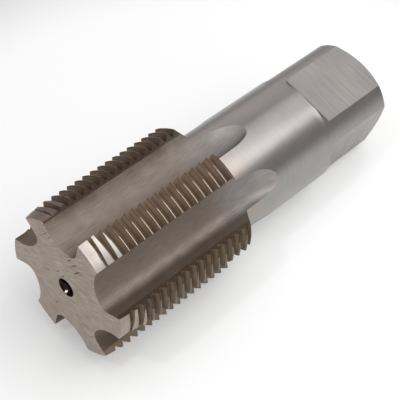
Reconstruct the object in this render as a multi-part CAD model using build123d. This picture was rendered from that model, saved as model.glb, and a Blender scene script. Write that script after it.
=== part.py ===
from build123d import *

import math
import os

os.makedirs("parts", exist_ok=True)

# A large hand tap for parallel pipe thread, one solid bar of tool steel.
# It is modelled standing on its cutting end, axis on Z, and then laid down.
# Angles are counterclockwise about +Z, which runs from the cutting end to the drive end.

# Thread: 11 turns per inch, 55 degree flanks, flattened crests and roots.
thread_major_d = 37.897
thread_pitch = 25.4 / 11
thread_depth = 1.479
flank_angle = 55.0
thread_end = 40.5
thread_start = 0.7

# Lands and the flutes between them.
land_count = 6
land_angle = 22.2
rake_angle = 3.0
core_d = 22.6
flute_floor_r = 9.1
flute_root_r = 2.8
flute_straight = 45.0
flute_runout_r = 27.0

# Tapered lead at the cutting end, relieved behind each cutting edge.
lead_front_d = 35.5
lead_length = 7.6
lead_relief = 1.15

# Turned shank, the cone behind the thread and the end chamfer.
shank_d = 28.0
rear_cone_angle = 37.0
overall_length = 99.0
end_chamfer_depth = 3.2
end_chamfer_angle = 34.5

# Square drive milled on the shank's end.
square_across = 23.5
square_length = 23.7
square_corner_r = 2.0
square_turn = 19.1

# Centre holes in both end faces.
centre_mouth_d = 4.9
centre_pilot_d = 2.4
centre_pilot_length = 3.0
centre_angle = 60.0

# Values that follow from those above.
major_r = thread_major_d / 2
root_r = major_r - thread_depth
shank_r = shank_d / 2
core_r = core_d / 2
sector = 360.0 / land_count
flute_angle = sector - land_angle
flank_run = thread_depth * math.tan(math.radians(flank_angle / 2))
crest_flat = (thread_pitch - 2 * flank_run) / 2
lead_slope = (thread_major_d - lead_front_d) / 2 / lead_length
cone_slope = math.tan(math.radians(rear_cone_angle))
cone_end = thread_end + (major_r - shank_r) * cone_slope
chamfer_run = end_chamfer_depth * math.tan(math.radians(end_chamfer_angle))
stock_r = root_r - 1.2
comb_inner_r = stock_r - 1.2
comb_over = 4.5
clear = 2.0


def ring(points):
    """A solid turned about Z from (radius, height) points."""
    outline = Polyline([(r, 0, z) for r, z in points], close=True)
    return revolve(make_face(outline), Axis.Z, 360)


def thread_comb(land):
    """One land's teeth, swept along the thread's helix, lead and cone still missing."""
    first = -2
    last = math.ceil(cone_end / thread_pitch) + 1
    points = [(comb_inner_r, first * thread_pitch)]
    for turn in range(first, last):
        base = turn * thread_pitch
        points.append((root_r, base))
        points.append((root_r, base + crest_flat))
        points.append((major_r, base + crest_flat + flank_run))
        points.append((major_r, base + 2 * crest_flat + flank_run))
    points.append((root_r, last * thread_pitch))
    points.append((comb_inner_r, last * thread_pitch))
    section = make_face(Polyline([(r, 0, z) for r, z in points], close=True))
    span = land_angle + 2 * comb_over
    rise = thread_pitch * span / 360
    helix = Edge.make_helix(thread_pitch, rise, major_r)
    swept = Solid.sweep(section.face(), helix, is_frenet=True)
    back = -land_angle / 2 - comb_over
    lift = thread_start + thread_pitch * (back / 360 + land / land_count)
    return Pos(0, 0, lift) * Rot(0, 0, back) * swept


def lead_ring():
    """What the grinding wheel takes off one land at the cutting end."""
    low = -clear
    high = lead_length + clear / lead_slope
    points = [
        (lead_front_d / 2 + low * lead_slope, low),
        (lead_front_d / 2 + high * lead_slope, high),
        (major_r + 3 * clear, high),
        (major_r + 3 * clear, low),
    ]
    return Pos(0, -lead_relief, 0) * ring(points)


def flute_profile():
    """The flute's section, its cutting edge on +X, the flute lying on the -Y side."""
    lean = math.tan(math.radians(rake_angle))
    outer = major_r + clear
    heel = math.radians(flute_angle)
    centre_u = core_r + flute_floor_r
    reach = centre_u - major_r * math.cos(heel)
    centre_v = major_r * math.sin(heel) - math.sqrt(flute_floor_r**2 - reach**2)
    # The root fillet touches the leaning rake face and the floor's arc.
    cos_lean = math.cos(math.radians(rake_angle))
    sin_lean = math.sin(math.radians(rake_angle))
    gap = flute_floor_r - flute_root_r
    # Along the rake face's normal the fillet's centre stands one radius off it.
    edge_u = major_r
    du = centre_u - edge_u
    side = centre_v * cos_lean - du * sin_lean
    along = math.sqrt(gap**2 - (side - flute_root_r) ** 2)
    foot = du * cos_lean + centre_v * sin_lean
    root_s = foot - along
    root_u = edge_u + root_s * cos_lean - flute_root_r * sin_lean
    root_v = root_s * sin_lean + flute_root_r * cos_lean
    touch_u = edge_u + root_s * cos_lean
    touch_v = root_s * sin_lean
    way = math.atan2(root_v - centre_v, root_u - centre_u)
    blend_u = centre_u + flute_floor_r * math.cos(way)
    blend_v = centre_v + flute_floor_r * math.sin(way)
    rake_way = math.atan2(touch_v - root_v, touch_u - root_u)
    turn = (way - rake_way) % (2 * math.pi)
    if turn > math.pi:
        turn = turn - 2 * math.pi
    mid_way = rake_way + turn / 2
    mid_u = root_u + flute_root_r * math.cos(mid_way)
    mid_v = root_v + flute_root_r * math.sin(mid_way)
    rise_u = outer * math.cos(heel * 1.02)
    rise = math.acos(max(-1.0, min(1.0, (centre_u - rise_u) / flute_floor_r)))
    floor_u = centre_u - flute_floor_r
    end_u = centre_u - flute_floor_r * math.cos(rise)
    end_v = centre_v + flute_floor_r * math.sin(rise)
    top_u = outer + clear
    low_v = (top_u - edge_u) * lean
    edges = [
        Line((top_u, -low_v), (touch_u, -touch_v)),
        ThreePointArc((touch_u, -touch_v), (mid_u, -mid_v), (blend_u, -blend_v)),
        ThreePointArc((blend_u, -blend_v), (floor_u, -centre_v), (end_u, -end_v)),
        Line((end_u, -end_v), (top_u, -end_v - (top_u - end_u) * 0.4)),
        Line((top_u, -end_v - (top_u - end_u) * 0.4), (top_u, -low_v)),
    ]
    return make_face(edges)


def flute_cutter():
    """A straight flute that a disc cutter leaves in an arc."""
    profile = flute_profile()
    straight = extrude(Pos(0, 0, -clear) * profile, amount=flute_straight + clear)
    disc_u = core_r + flute_runout_r
    pivot = Axis((disc_u, 0, flute_straight), (0, 1, 0))
    leaving = revolve(Pos(0, 0, flute_straight) * profile, pivot, 80)
    return Rot(0, 0, -land_angle / 2) * (straight + leaving)


def square_flat():
    """What is milled off one side of the shank's end, its flat facing +X."""
    top = overall_length + clear
    low = overall_length - square_length
    flat = square_across / 2
    wide = shank_r + clear
    outer = shank_r + clear
    r = min(square_corner_r, 0.9 * (shank_r - flat) + 0.2)
    bow = r * (1 - math.sqrt(0.5))
    edges = [
        Line((outer, 0, low), (flat + r, 0, low)),
        ThreePointArc((flat + r, 0, low), (flat + bow, 0, low + bow), (flat, 0, low + r)),
        Line((flat, 0, low + r), (flat, 0, top)),
        Line((flat, 0, top), (outer, 0, top)),
        Line((outer, 0, top), (outer, 0, low)),
    ]
    return extrude(make_face(edges), amount=wide, both=True)


def centre_hole():
    """A centre hole that opens downward at height zero."""
    mouth = centre_mouth_d / 2
    pilot = centre_pilot_d / 2
    cone = (mouth - pilot) / math.tan(math.radians(centre_angle / 2))
    tip = pilot / math.tan(math.radians(59))
    flare = mouth + clear * math.tan(math.radians(centre_angle / 2))
    bottom = cone + centre_pilot_length
    points = [
        (0, -clear),
        (flare, -clear),
        (pilot, cone),
        (pilot, bottom),
        (0, bottom + tip),
    ]
    return ring(points)


def turned_off():
    """What is turned off outside the rear cone, the shank and its end chamfer."""
    out = major_r + 3 * clear
    high = overall_length + clear
    points = [
        (out, cone_end - (out - shank_r) * cone_slope),
        (shank_r, cone_end),
        (shank_r, overall_length - chamfer_run),
        (shank_r - end_chamfer_depth, overall_length),
        (shank_r - end_chamfer_depth, high),
        (out, high),
    ]
    return ring(points)


def tap():
    """The whole tap, standing on its cutting end."""
    stock = Pos(0, 0, overall_length / 2) * Cylinder(stock_r, overall_length)
    combs = [
        Rot(0, 0, i * sector) * (thread_comb(i) - lead_ring())
        for i in range(land_count)
    ]
    body = stock + combs
    facing = Pos(0, 0, -20) * Cylinder(major_r + 10, 40)
    cutter = flute_cutter()
    flutes = [Rot(0, 0, i * sector) * cutter for i in range(land_count)]
    body = body - turned_off()
    body = body - facing
    body = body - flutes
    flats = [Rot(0, 0, square_turn + 90 * i) * square_flat() for i in range(4)]
    body = body - flats
    front_centre = centre_hole()
    rear_centre = Pos(0, 0, overall_length) * Rot(180, 0, 0) * centre_hole()
    return body - [front_centre, rear_centre]


def laid_down(standing):
    """The tap at rest on two lands and the end of its shank, one flute facing the floor."""
    half_gap = math.radians(flute_angle / 2)
    land_drop = major_r * math.cos(half_gap)
    flute_middle = -sector / 2
    lowest = flute_middle + sector * round((90 - flute_middle) / sector)
    lying = math.radians(lowest)
    heights = []
    half_flat = math.acos(square_across / shank_d)
    for i in range(4):
        for side in (-1, 1):
            edge = math.radians(square_turn + 90 * i) + side * half_flat
            heights.append(shank_r * math.cos(edge - lying))
    shank_drop = max(heights)
    far = overall_length - chamfer_run
    tilt = math.degrees(math.atan2(land_drop - shank_drop, far - thread_end))
    side_plane = Plane(origin=(0, 0, 0), x_dir=(0, -1, 0), z_dir=(1, 0, 0))
    lying_part = Rot(0, tilt, 0) * side_plane.location * Rot(0, 0, 90 - lowest) * standing
    box = lying_part.bounding_box()
    centre = box.center()
    return Pos(-centre.X, -centre.Y, -box.min.Z) * lying_part


thread_tap = laid_down(tap())
solids = thread_tap.solids()
print("solids", len(solids), "volume", round(thread_tap.volume, 1))
print("box", thread_tap.bounding_box())
export_step(thread_tap, "parts/thread_tap.step")
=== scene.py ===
"""A large hand tap for parallel pipe thread, dressed for its photograph.

The tap is worked out standing on its cutting end in millimetres, its axis on Z, and then laid
on the floor as the CAD model lies. Angles turn counterclockwise about the axis, seen from the
drive end. Two meshes make it: the bar with its flutes, shank and square, and the thread teeth.
"""

import logging
import math
from dataclasses import dataclass, field
from enum import Enum
from typing import Iterable, Sequence

import bmesh
import bpy
from mathutils import Matrix, Vector


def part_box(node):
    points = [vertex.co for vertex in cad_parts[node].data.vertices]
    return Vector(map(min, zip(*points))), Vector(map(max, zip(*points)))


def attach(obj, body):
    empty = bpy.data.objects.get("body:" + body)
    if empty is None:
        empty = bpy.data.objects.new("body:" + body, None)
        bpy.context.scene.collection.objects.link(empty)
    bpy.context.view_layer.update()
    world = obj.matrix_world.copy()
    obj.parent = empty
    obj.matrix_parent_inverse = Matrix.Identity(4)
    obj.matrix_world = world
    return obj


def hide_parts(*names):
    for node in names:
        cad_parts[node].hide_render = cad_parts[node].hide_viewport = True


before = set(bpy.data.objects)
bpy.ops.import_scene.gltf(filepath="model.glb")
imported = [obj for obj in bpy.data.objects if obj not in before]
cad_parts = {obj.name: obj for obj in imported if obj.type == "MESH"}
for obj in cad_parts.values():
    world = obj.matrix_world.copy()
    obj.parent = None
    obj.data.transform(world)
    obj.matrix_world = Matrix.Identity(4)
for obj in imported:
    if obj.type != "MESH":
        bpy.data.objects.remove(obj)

MM = 0.001
NODE = "thread_tap"
BODY = "root"

OUTLINE = "outline_length"
LAND = "land_across"
AXES = "tap_axes"

# Sets one flute's outline lengths off from the next, in millimetres.
FLUTE_APART = 40.0

# The bows in which the end faces are ground: their middle, in millimetres, and how fast they
# draw together, for each millimetre.
BOW_MIDDLE = 6.0
BOW_RATE = 0.026

# An edge shorter than this, in millimetres, is taken out.
NO_LENGTH = 1e-5

log = logging.getLogger("thread_tap")

Point = tuple[float, float, float]
Tint = tuple[float, float, float]


class Region(Enum):
    """The differently finished areas of the tap, numbered as its meshes' material slots."""

    FRONT = 0
    FLUTE = 1
    CONE = 2
    SHANK = 3
    SQUARE = 4
    CENTRE = 5


class ToothRegion(Enum):
    """The differently finished areas of the teeth."""

    FLANK = 0
    CREST = 1
    LEAD = 2
    SIDE = 3
    END = 4


class Grain(Enum):
    """The ways in which a tool's marks run over the steel."""

    AROUND = "around the axis"
    OUTLINE = "along a flute"
    ALONG = "along the axis"
    FACED = "in wide bows over the end face"


@dataclass(frozen=True)
class ThreadForm:
    """The thread: 11 turns per inch, 55 degree flanks, rounded crests and roots.

    Attributes:
        major_d: Diameter over the crests.
        pitch: Distance from crest to crest.
        depth: Height of a tooth.
        flank_angle: Angle between a tooth's flanks, in degrees.
        round_share: Radius that crests and roots are rounded to, as a share of the pitch.
        start: Height of the first turn over the front face.
        end: Height where the cone behind the thread begins.
        cone_angle: Angle between that cone and the end face, in degrees.
    """

    major_d: float = 37.897
    pitch: float = 25.4 / 11
    depth: float = 1.479
    flank_angle: float = 55.0
    round_share: float = 0.137329
    start: float = 0.7
    end: float = 40.5
    cone_angle: float = 37.0

    @property
    def crest_r(self) -> float:
        """Radius over the crests."""
        return self.major_d / 2

    @property
    def root_r(self) -> float:
        """Radius at the roots."""
        return self.crest_r - self.depth

    @property
    def flank_run(self) -> float:
        """Length of a flank along the axis."""
        return self.depth * math.tan(math.radians(self.flank_angle / 2))

    @property
    def flat(self) -> float:
        """Length between two flanks at the root's level, along the axis."""
        return (self.pitch - 2 * self.flank_run) / 2

    @property
    def round_r(self) -> float:
        """Radius that crests and roots are rounded to."""
        return self.round_share * self.pitch

    @property
    def round_half(self) -> float:
        """Half the length of a rounding along the axis."""
        return self.round_r * math.cos(math.radians(self.flank_angle / 2))

    @property
    def cone_slope(self) -> float:
        """Height that the cone gains for each millimetre of radius."""
        return math.tan(math.radians(self.cone_angle))

    def cone_radius(self, height: float) -> float:
        """Radius of the cone behind the thread at a height."""
        return self.crest_r - (height - self.end) / self.cone_slope

    def cone_height(self, radius: float) -> float:
        """Height where that cone has a radius."""
        return self.end + (self.crest_r - radius) * self.cone_slope


@dataclass(frozen=True)
class LeadForm:
    """The ground taper at the cutting end, relieved from each cutting edge to its heel.

    Attributes:
        rake_r: Its radius at the front face's cutting edges.
        rake_slope: Radius gained there for each millimetre of height.
        heel_r: Its radius at the heels.
        heel_flat: Height up to which the heels stay at that radius.
        heel_slope: Radius that they gain above it for each millimetre of height.
        filled: Height up to which the roots are filled to the taper.
        opening: Depth that they then gain for each millimetre of height.
    """

    rake_r: float = 18.1
    rake_slope: float = 0.145
    heel_r: float = 17.49
    heel_flat: float = 2.9
    heel_slope: float = 0.25
    filled: float = 2.55
    opening: float = 1.6


@dataclass(frozen=True)
class FluteForm:
    """The flutes and the lands between them.

    Attributes:
        count: Number of flutes.
        land_angle: Width of a land, in degrees.
        rake_angle: Hook of the cutting edge, in degrees.
        core_d: Diameter left under the flutes.
        floor_r: Radius of the flute's floor.
        root_r: Radius under the cutting edge.
        straight: Height where the cutter starts to leave the bar.
        leave_r: Radius of the arc in which it leaves.
    """

    count: int = 6
    land_angle: float = 22.2
    rake_angle: float = 3.0
    core_d: float = 22.6
    floor_r: float = 9.1
    root_r: float = 2.8
    straight: float = 45.0
    leave_r: float = 27.0

    @property
    def sector(self) -> float:
        """Angle from one flute to the next, in degrees."""
        return 360.0 / self.count

    @property
    def core_r(self) -> float:
        """Radius left under the flutes."""
        return self.core_d / 2


@dataclass(frozen=True)
class ShankForm:
    """The round shank, its end chamfer and the square milled on it.

    Attributes:
        diameter: Diameter of the shank.
        overall: Length of the whole tap.
        chamfer_depth: How far the end chamfer goes in from the shank's wall.
        chamfer_angle: Angle of the end chamfer to the end face, in degrees.
        across: Width of the square across its flats.
        square_length: Length of the square with its inner radius.
        corner_r: Radius at the square's inner end.
        turn: Angle of the first flat, in degrees.
    """

    diameter: float = 28.0
    overall: float = 99.0
    chamfer_depth: float = 3.2
    chamfer_angle: float = 34.5
    across: float = 23.5
    square_length: float = 23.7
    corner_r: float = 2.0
    turn: float = 19.1

    @property
    def radius(self) -> float:
        """Radius of the shank."""
        return self.diameter / 2

    @property
    def chamfer_slope(self) -> float:
        """Height that the end chamfer gains for each millimetre of radius."""
        return math.tan(math.radians(self.chamfer_angle))

    @property
    def chamfer_start(self) -> float:
        """Height where the end chamfer begins."""
        return self.overall - self.chamfer_depth * self.chamfer_slope

    @property
    def square_start(self) -> float:
        """Height of the square's inner end."""
        return self.overall - self.square_length

    def wall(self, height: float) -> float:
        """Radius of the turned wall at a height on the shank."""
        return self.radius - max(0.0, height - self.chamfer_start) / self.chamfer_slope

    def flat(self, height: float) -> float:
        """Distance of a flat from the axis at a height in the square."""
        centre = self.square_start + self.corner_r
        back = max(0.0, centre - height)
        rise = math.sqrt(max(0.0, self.corner_r**2 - back**2))
        return self.across / 2 + self.corner_r - rise


@dataclass(frozen=True)
class CentreForm:
    """A centre hole: a cone with a pilot hole behind it.

    Attributes:
        mouth_d: Diameter of the cone's mouth.
        pilot_d: Diameter of the pilot hole.
        pilot_length: Length of the pilot hole's wall.
        angle: Angle of the cone, in degrees.
        tip_angle: Angle of the pilot hole's drilled end, in degrees.
    """

    mouth_d: float = 4.9
    pilot_d: float = 2.4
    pilot_length: float = 3.0
    angle: float = 60.0
    tip_angle: float = 118.0

    def steps(self) -> list[tuple[float, float]]:
        """The hole's outline as (radius, depth) from its mouth to its tip."""
        mouth, pilot = self.mouth_d / 2, self.pilot_d / 2
        cone = (mouth - pilot) / math.tan(math.radians(self.angle / 2))
        bottom = cone + self.pilot_length
        tip = pilot / math.tan(math.radians(self.tip_angle / 2))
        return [(mouth, 0.0), (pilot, cone), (pilot, bottom), (0.0, bottom + tip)]


@dataclass(frozen=True)
class TapForm:
    """All sizes of the tap, in millimetres, and the values shared by its two meshes.

    Attributes:
        thread: The thread.
        lead: The taper at the cutting end.
        flute: The flutes and lands.
        shank: The shank and its square.
        centre: The centre holes.
        seat_r: Radius at which the teeth stand on the lands, just under the thread's roots.
        land_steps: Divisions across a land, the same in both meshes so that they meet.
    """

    thread: ThreadForm = field(default_factory=ThreadForm)
    lead: LeadForm = field(default_factory=LeadForm)
    flute: FluteForm = field(default_factory=FluteForm)
    shank: ShankForm = field(default_factory=ShankForm)
    centre: CentreForm = field(default_factory=CentreForm)
    seat_r: float = 17.0
    land_steps: int = 16

    @property
    def seat_end(self) -> float:
        """Height where the cone behind the thread reaches the teeth's seat."""
        return self.thread.cone_height(self.seat_r)

    @property
    def cone_end(self) -> float:
        """Height where that cone runs into the shank."""
        return self.thread.cone_height(self.shank.radius)

    def land_wall(self, height: float) -> float:
        """Radius of the bar's own wall at a height, without the teeth."""
        if height <= self.seat_end:
            return self.seat_r
        if height <= self.cone_end:
            return self.thread.cone_radius(height)
        return self.shank.radius


class FluteSection:
    """The outline of one flute, and how it changes where the cutter leaves the bar.

    The outline is held as (u, v) points: u outward through the cutting edge and v into the
    flute. It has three stretches: the rake face, the radius under it and the floor.

    Attributes:
        fine_steps: Divisions of each stretch where the outline is divided finely.
        start_share: Where the outline starts, as a share of the crests' radius.
        end_way: Direction from the floor's centre to the outline's end.
        tip_steps: Halvings in the search for the flute's end.
    """

    fine_steps = 60
    start_share = 1.05
    end_way = (-0.05, 1.0)
    tip_steps = 40

    def __init__(self, form: TapForm) -> None:
        """Works out where the three stretches meet.

        Args:
            form: The tap's sizes.
        """
        self.form = form
        flute, edge = form.flute, form.thread.crest_r
        self.lean = math.radians(flute.rake_angle)
        heel = math.radians(flute.sector - flute.land_angle)
        self.floor_u = flute.core_r + flute.floor_r
        reach = self.floor_u - edge * math.cos(heel)
        self.floor_v = edge * math.sin(heel) - math.sqrt(flute.floor_r**2 - reach**2)
        across = Vector((-math.sin(self.lean), math.cos(self.lean)))
        along = Vector((math.cos(self.lean), math.sin(self.lean)))
        corner = Vector((edge, 0.0))
        to_floor = Vector((self.floor_u, self.floor_v)) - corner
        gap = flute.floor_r - flute.root_r
        back = to_floor.dot(along) - math.sqrt(gap**2 - (to_floor.dot(across) - flute.root_r) ** 2)
        self.touch = corner + back * along
        self.root_centre = self.touch + flute.root_r * across
        outward = (self.root_centre - Vector((self.floor_u, self.floor_v))).normalized()
        self.blend = Vector((self.floor_u, self.floor_v)) + flute.floor_r * outward
        self.pivot_u = flute.core_r + flute.leave_r
        self.fine = self.base([self.fine_steps] * 3)
        self.lengths = [0.0]
        for a, b in zip(self.fine, self.fine[1:]):
            self.lengths.append(self.lengths[-1] + (b - a).length)

    def base(self, steps: Sequence[int]) -> list[Vector]:
        """The straight flute's outline, from the rake side to the heel side.

        Args:
            steps: Divisions of the rake face, of the radius under it and of the floor.

        Returns:
            The points, evenly spaced on each stretch.
        """
        edge = self.form.thread.crest_r * self.start_share
        slope = math.tan(self.lean)
        top = Vector((edge, (edge - self.form.thread.crest_r) * slope))
        points = [top.lerp(self.touch, i / steps[0]) for i in range(steps[0])]
        points += self._arc(self.root_centre, self.form.flute.root_r, self.touch, self.blend, steps[1])[:-1]
        floor = Vector((self.floor_u, self.floor_v))
        reach = self.form.flute.floor_r
        end = floor + Vector(self.end_way).normalized() * reach
        points += self._arc(floor, reach, self.blend, end, steps[2])
        return points

    @staticmethod
    def _arc(centre: Vector, radius: float, start: Vector, stop: Vector, steps: int) -> list[Vector]:
        """Points on the shorter arc from start to stop, both ends included."""
        first = math.atan2(*(start - centre).yx)
        turn = (math.atan2(*(stop - centre).yx) - first + math.pi) % math.tau - math.pi
        ways = [first + turn * i / steps for i in range(steps + 1)]
        return [centre + radius * Vector((math.cos(w), math.sin(w))) for w in ways]

    def raised(self, point: Vector, height: float) -> Vector:
        """Where a point of the outline stands at a height, once the cutter has begun to leave."""
        rise = height - self.form.flute.straight
        if rise <= 0:
            return point
        arm = self.pivot_u - point.x
        return Vector((self.pivot_u - math.sqrt(max(0.0, arm**2 - rise**2)), point.y))

    def cut(self, height: float, wall: float, stretches: Sequence[int]) -> list[tuple[Vector, float]] | None:
        """The part of the outline that lies inside the bar's wall.

        Args:
            height: Height over the front face.
            wall: Radius of the wall there.
            stretches: Divisions wanted on the rake face, the radius and the floor.

        Returns:
            Points from the rake side to the heel side, each with its length along the outline,
            or None where the flute has ended.
        """
        path = [self.raised(p, height) for p in self.fine]
        inside = [i for i, p in enumerate(path) if p.length < wall]
        if not inside:
            return None
        start = self._crossing(path, inside[0] - 1, inside[0], wall)
        stop = self._crossing(path, inside[-1], inside[-1] + 1, wall)
        bends = [min(max(float(i * self.fine_steps), start), stop) for i in (1, 2)]
        knots = [start, *bends, stop]
        places = []
        for low, high, steps in zip(knots, knots[1:], stretches):
            places += [low + (high - low) * i / steps for i in range(steps)]
        places.append(stop)
        cut = [(self._between(path, place), self._length(place)) for place in places]
        for end in (0, -1):
            point, length = cut[end]
            cut[end] = (point * (wall / point.length), length)
        return cut

    def _length(self, place: float) -> float:
        """Length along the straight flute's outline at a fractional place."""
        low = min(int(place), len(self.lengths) - 2)
        return self.lengths[low] + (self.lengths[low + 1] - self.lengths[low]) * (place - low)

    @staticmethod
    def _crossing(path: Sequence[Vector], low: int, high: int, wall: float) -> float:
        """The place between two points of a path where its distance from the axis is the wall's."""
        a, b = path[low].length, path[high].length
        return low + (wall - a) / (b - a) * (high - low)

    @staticmethod
    def _between(path: Sequence[Vector], place: float) -> Vector:
        """The point at a fractional place of a path."""
        low = min(int(place), len(path) - 2)
        return path[low].lerp(path[low + 1], place - low)

    def tip(self) -> tuple[float, float, float]:
        """Where the flute ends on the shank.

        Returns:
            Its height, its angle from the cutting edge in radians, and its outline length there.
        """
        wall = self.form.shank.radius
        low, high = self.form.flute.straight, self.form.flute.straight + self.form.flute.leave_r / 2
        for _ in range(self.tip_steps):
            middle = (low + high) / 2
            nearest = min(self.raised(p, middle).length for p in self.fine)
            low, high = (middle, high) if nearest < wall else (low, middle)
        path = [self.raised(p, low) for p in self.fine]
        last = min(range(len(path)), key=lambda i: path[i].length)
        return low, math.atan2(path[last].y, path[last].x), self.lengths[last]


def clean(mesh: bmesh.types.BMesh, merge: float) -> None:
    """Joins doubled vertices, removes faces without area and points all faces outwards.

    Args:
        mesh: The mesh.
        merge: Distance under which two vertices are one.
    """
    bmesh.ops.remove_doubles(mesh, verts=mesh.verts, dist=merge)
    bmesh.ops.dissolve_degenerate(mesh, edges=mesh.edges, dist=NO_LENGTH)
    bmesh.ops.recalc_face_normals(mesh, faces=mesh.faces)


def shade_edges(mesh: bmesh.types.BMesh, sharp: float, between: float = 0.07) -> None:
    """Shades a mesh smoothly, apart from its edges.

    Args:
        mesh: The mesh.
        sharp: Angle over which any edge is sharp, in radians.
        between: Angle over which an edge between two finishes is sharp, in radians.
    """
    for face in mesh.faces:
        face.smooth = True
    for edge in mesh.edges:
        if len(edge.link_faces) != 2:
            continue
        kinds = {face.material_index for face in edge.link_faces}
        edge.smooth = edge.calc_face_angle(0.0) < (sharp if len(kinds) == 1 else between)


@dataclass
class Ring:
    """One closed row of points round the bar.

    Attributes:
        points: The points, counterclockwise.
        regions: The finish of the face that stands on each step.
        lengths: Each point's length along its flute's outline, in millimetres.
    """

    points: list[Point]
    regions: list[Region]
    lengths: list[float] = field(default_factory=list)

    def __post_init__(self) -> None:
        """Fills in the lengths of a row without flutes."""
        self.lengths = self.lengths or [0.0] * len(self.points)

    def started(self, first: int) -> "Ring":
        """The row started some points further on."""
        lists = (self.points, self.regions, self.lengths)
        return Ring(*(items[first:] + items[:first] for items in lists))


@dataclass
class TapBody:
    """The bar: front face, lands without their teeth, flutes, cone, shank, square and end face.

    Attributes:
        form: The tap's sizes.
        stretches: Divisions of a flute's rake face, of the radius under it and of its floor.
        front_heights: Heights of the first rows of points.
        cone_rows: Rows on the cone behind the thread.
        leave_rows: Rows where the flutes leave the bar.
        behind: How far behind the flutes' end the first round row lies.
        round_rows: Divisions of the shank between the flutes and the square.
        corner_rows: Divisions of the radius at the square's inner end.
        chamfer_rows: Rows where the end chamfer cuts the flats.
        flat_steps: Divisions across one flat of the square.
        mouth_steps: Vertices round the mouth of a centre hole.
        merge: Distance under which two vertices are one.
        sharp: Angle over which an edge is sharp, in degrees.
        name: The piece's name.
    """

    form: TapForm
    stretches: tuple[int, int, int] = (3, 9, 18)
    front_heights: tuple[float, ...] = (0.0, 10.0, 20.0, 30.0)
    cone_rows: int = 3
    leave_rows: int = 30
    behind: float = 0.05
    round_rows: int = 14
    corner_rows: int = 10
    chamfer_rows: int = 12
    flat_steps: int = 14
    mouth_steps: int = 48
    merge: float = 1e-4
    sharp: float = 30.0
    name: str = "tap_body"

    def __post_init__(self) -> None:
        """Prepares the flute's outline and the spacing of the points."""
        self.section = FluteSection(self.form)
        self.corner_steps = self.form.land_steps * self.form.flute.count // 4 - self.flat_steps

    def _fluted(self, height: float) -> Ring:
        """A row of points through the lands and flutes at a height."""
        flute, wall = self.form.flute, self.form.land_wall(height)
        outline = self.section.cut(height, wall, self.stretches)
        half = math.radians(flute.land_angle) / 2
        if outline is None:
            _, way, length = self.section.tip()
            edge = Vector((math.cos(way), math.sin(way))) * wall
            outline = [(edge, length)] * (sum(self.stretches) + 1)
        heel = outline[-1][0]
        rake_way = -math.atan2(outline[0][0].y, outline[0][0].x)
        heel_way = math.radians(flute.sector) - math.atan2(heel.y, heel.x)
        ring = Ring([], [], [])
        for i in range(flute.count):
            turn = math.radians(i * flute.sector) - half
            for j in range(self.form.land_steps):
                way = turn + rake_way + (heel_way - rake_way) * j / self.form.land_steps
                ring.points.append((wall * math.cos(way), wall * math.sin(way), height))
                ring.regions.append(self._wall_region(height))
                ring.lengths.append(outline[0][1] + FLUTE_APART * ((i - 1) % flute.count))
            after = turn + math.radians(flute.sector)
            cos, sin = math.cos(after), math.sin(after)
            for p, length in reversed(outline[1:]):
                ring.points.append((p.x * cos + p.y * sin, p.x * sin - p.y * cos, height))
                ring.regions.append(Region.FLUTE)
                ring.lengths.append(length + FLUTE_APART * i)
        return ring

    def _wall_region(self, height: float) -> Region:
        """The finish of the turned wall from a height on."""
        return Region.CONE if height < self.form.cone_end - 1e-6 else Region.SHANK

    def _squared(self, height: float, wall: float, flat: float, spread: float) -> Ring:
        """A row of points through the square at a height.

        Args:
            height: Height over the front face.
            wall: Radius of the turned wall.
            flat: Distance of the flats from the axis.
            spread: Half the angle that a flat's points cover, in radians.

        Returns:
            The row, from the middle of one corner on.
        """
        points: list[Point] = []
        regions: list[Region] = []
        quarter = math.pi / 2
        for i in range(4):
            middle = math.radians(self.form.shank.turn) + i * quarter
            for j in range(self.flat_steps):
                way = -spread + 2 * spread * j / self.flat_steps
                radius = min(wall, flat / math.cos(way))
                points.append((radius * math.cos(middle + way), radius * math.sin(middle + way), height))
                regions.append(Region.SQUARE)
            for j in range(self.corner_steps):
                way = spread + (quarter - 2 * spread) * j / self.corner_steps
                points.append((wall * math.cos(middle + way), wall * math.sin(middle + way), height))
                regions.append(Region.SHANK)
        return Ring(points, regions)

    @staticmethod
    def _half_angle(wall: float, flat: float) -> float:
        """Half the angle that a flat takes from a round wall, in radians."""
        return math.acos(min(1.0, flat / wall))

    def _fluted_rows(self) -> list[Ring]:
        """The rows from the front face to the end of the flutes."""
        form = self.form
        tip = self.section.tip()[0]
        heights = [*self.front_heights, form.seat_end]
        for i in range(1, self.cone_rows + 1):
            heights.append(form.seat_end + (form.cone_end - form.seat_end) * i / self.cone_rows)
        heights.append(form.flute.straight)
        for i in range(1, self.leave_rows + 1):
            back = (1 - i / self.leave_rows) ** 2
            heights.append(tip - (tip - form.flute.straight) * back)
        rows = [self._fluted(h) for h in heights]
        behind = self._fluted(tip + self.behind)
        behind.regions = [Region.SHANK] * len(behind.points)
        return rows + [behind]

    def _square_rows(self) -> list[Ring]:
        """The rows from the square's inner end to the end face."""
        shank = self.form.shank
        start = shank.square_start
        first = shank.across / 2 + shank.corner_r
        spread = self._half_angle(shank.radius, first)
        rows = [self._squared(start, shank.radius, shank.radius * 2, spread)]
        for i in range(self.corner_rows + 1):
            height = start + shank.corner_r * (1 - math.cos(math.pi / 2 * i / self.corner_rows))
            rows.append(self._flat_row(height))
        rows.append(self._flat_row((start + shank.chamfer_start) / 2))
        vanish = shank.chamfer_start + (shank.radius - shank.across / 2) * shank.chamfer_slope
        for i in range(self.chamfer_rows):
            back = (1 - i / (self.chamfer_rows - 1)) ** 2
            rows.append(self._flat_row(vanish - (vanish - shank.chamfer_start) * back))
        even = math.pi / 4 * self.flat_steps / (self.flat_steps + self.corner_steps)
        rows.append(self._squared(shank.overall, shank.wall(shank.overall), shank.radius, even))
        return rows

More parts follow.
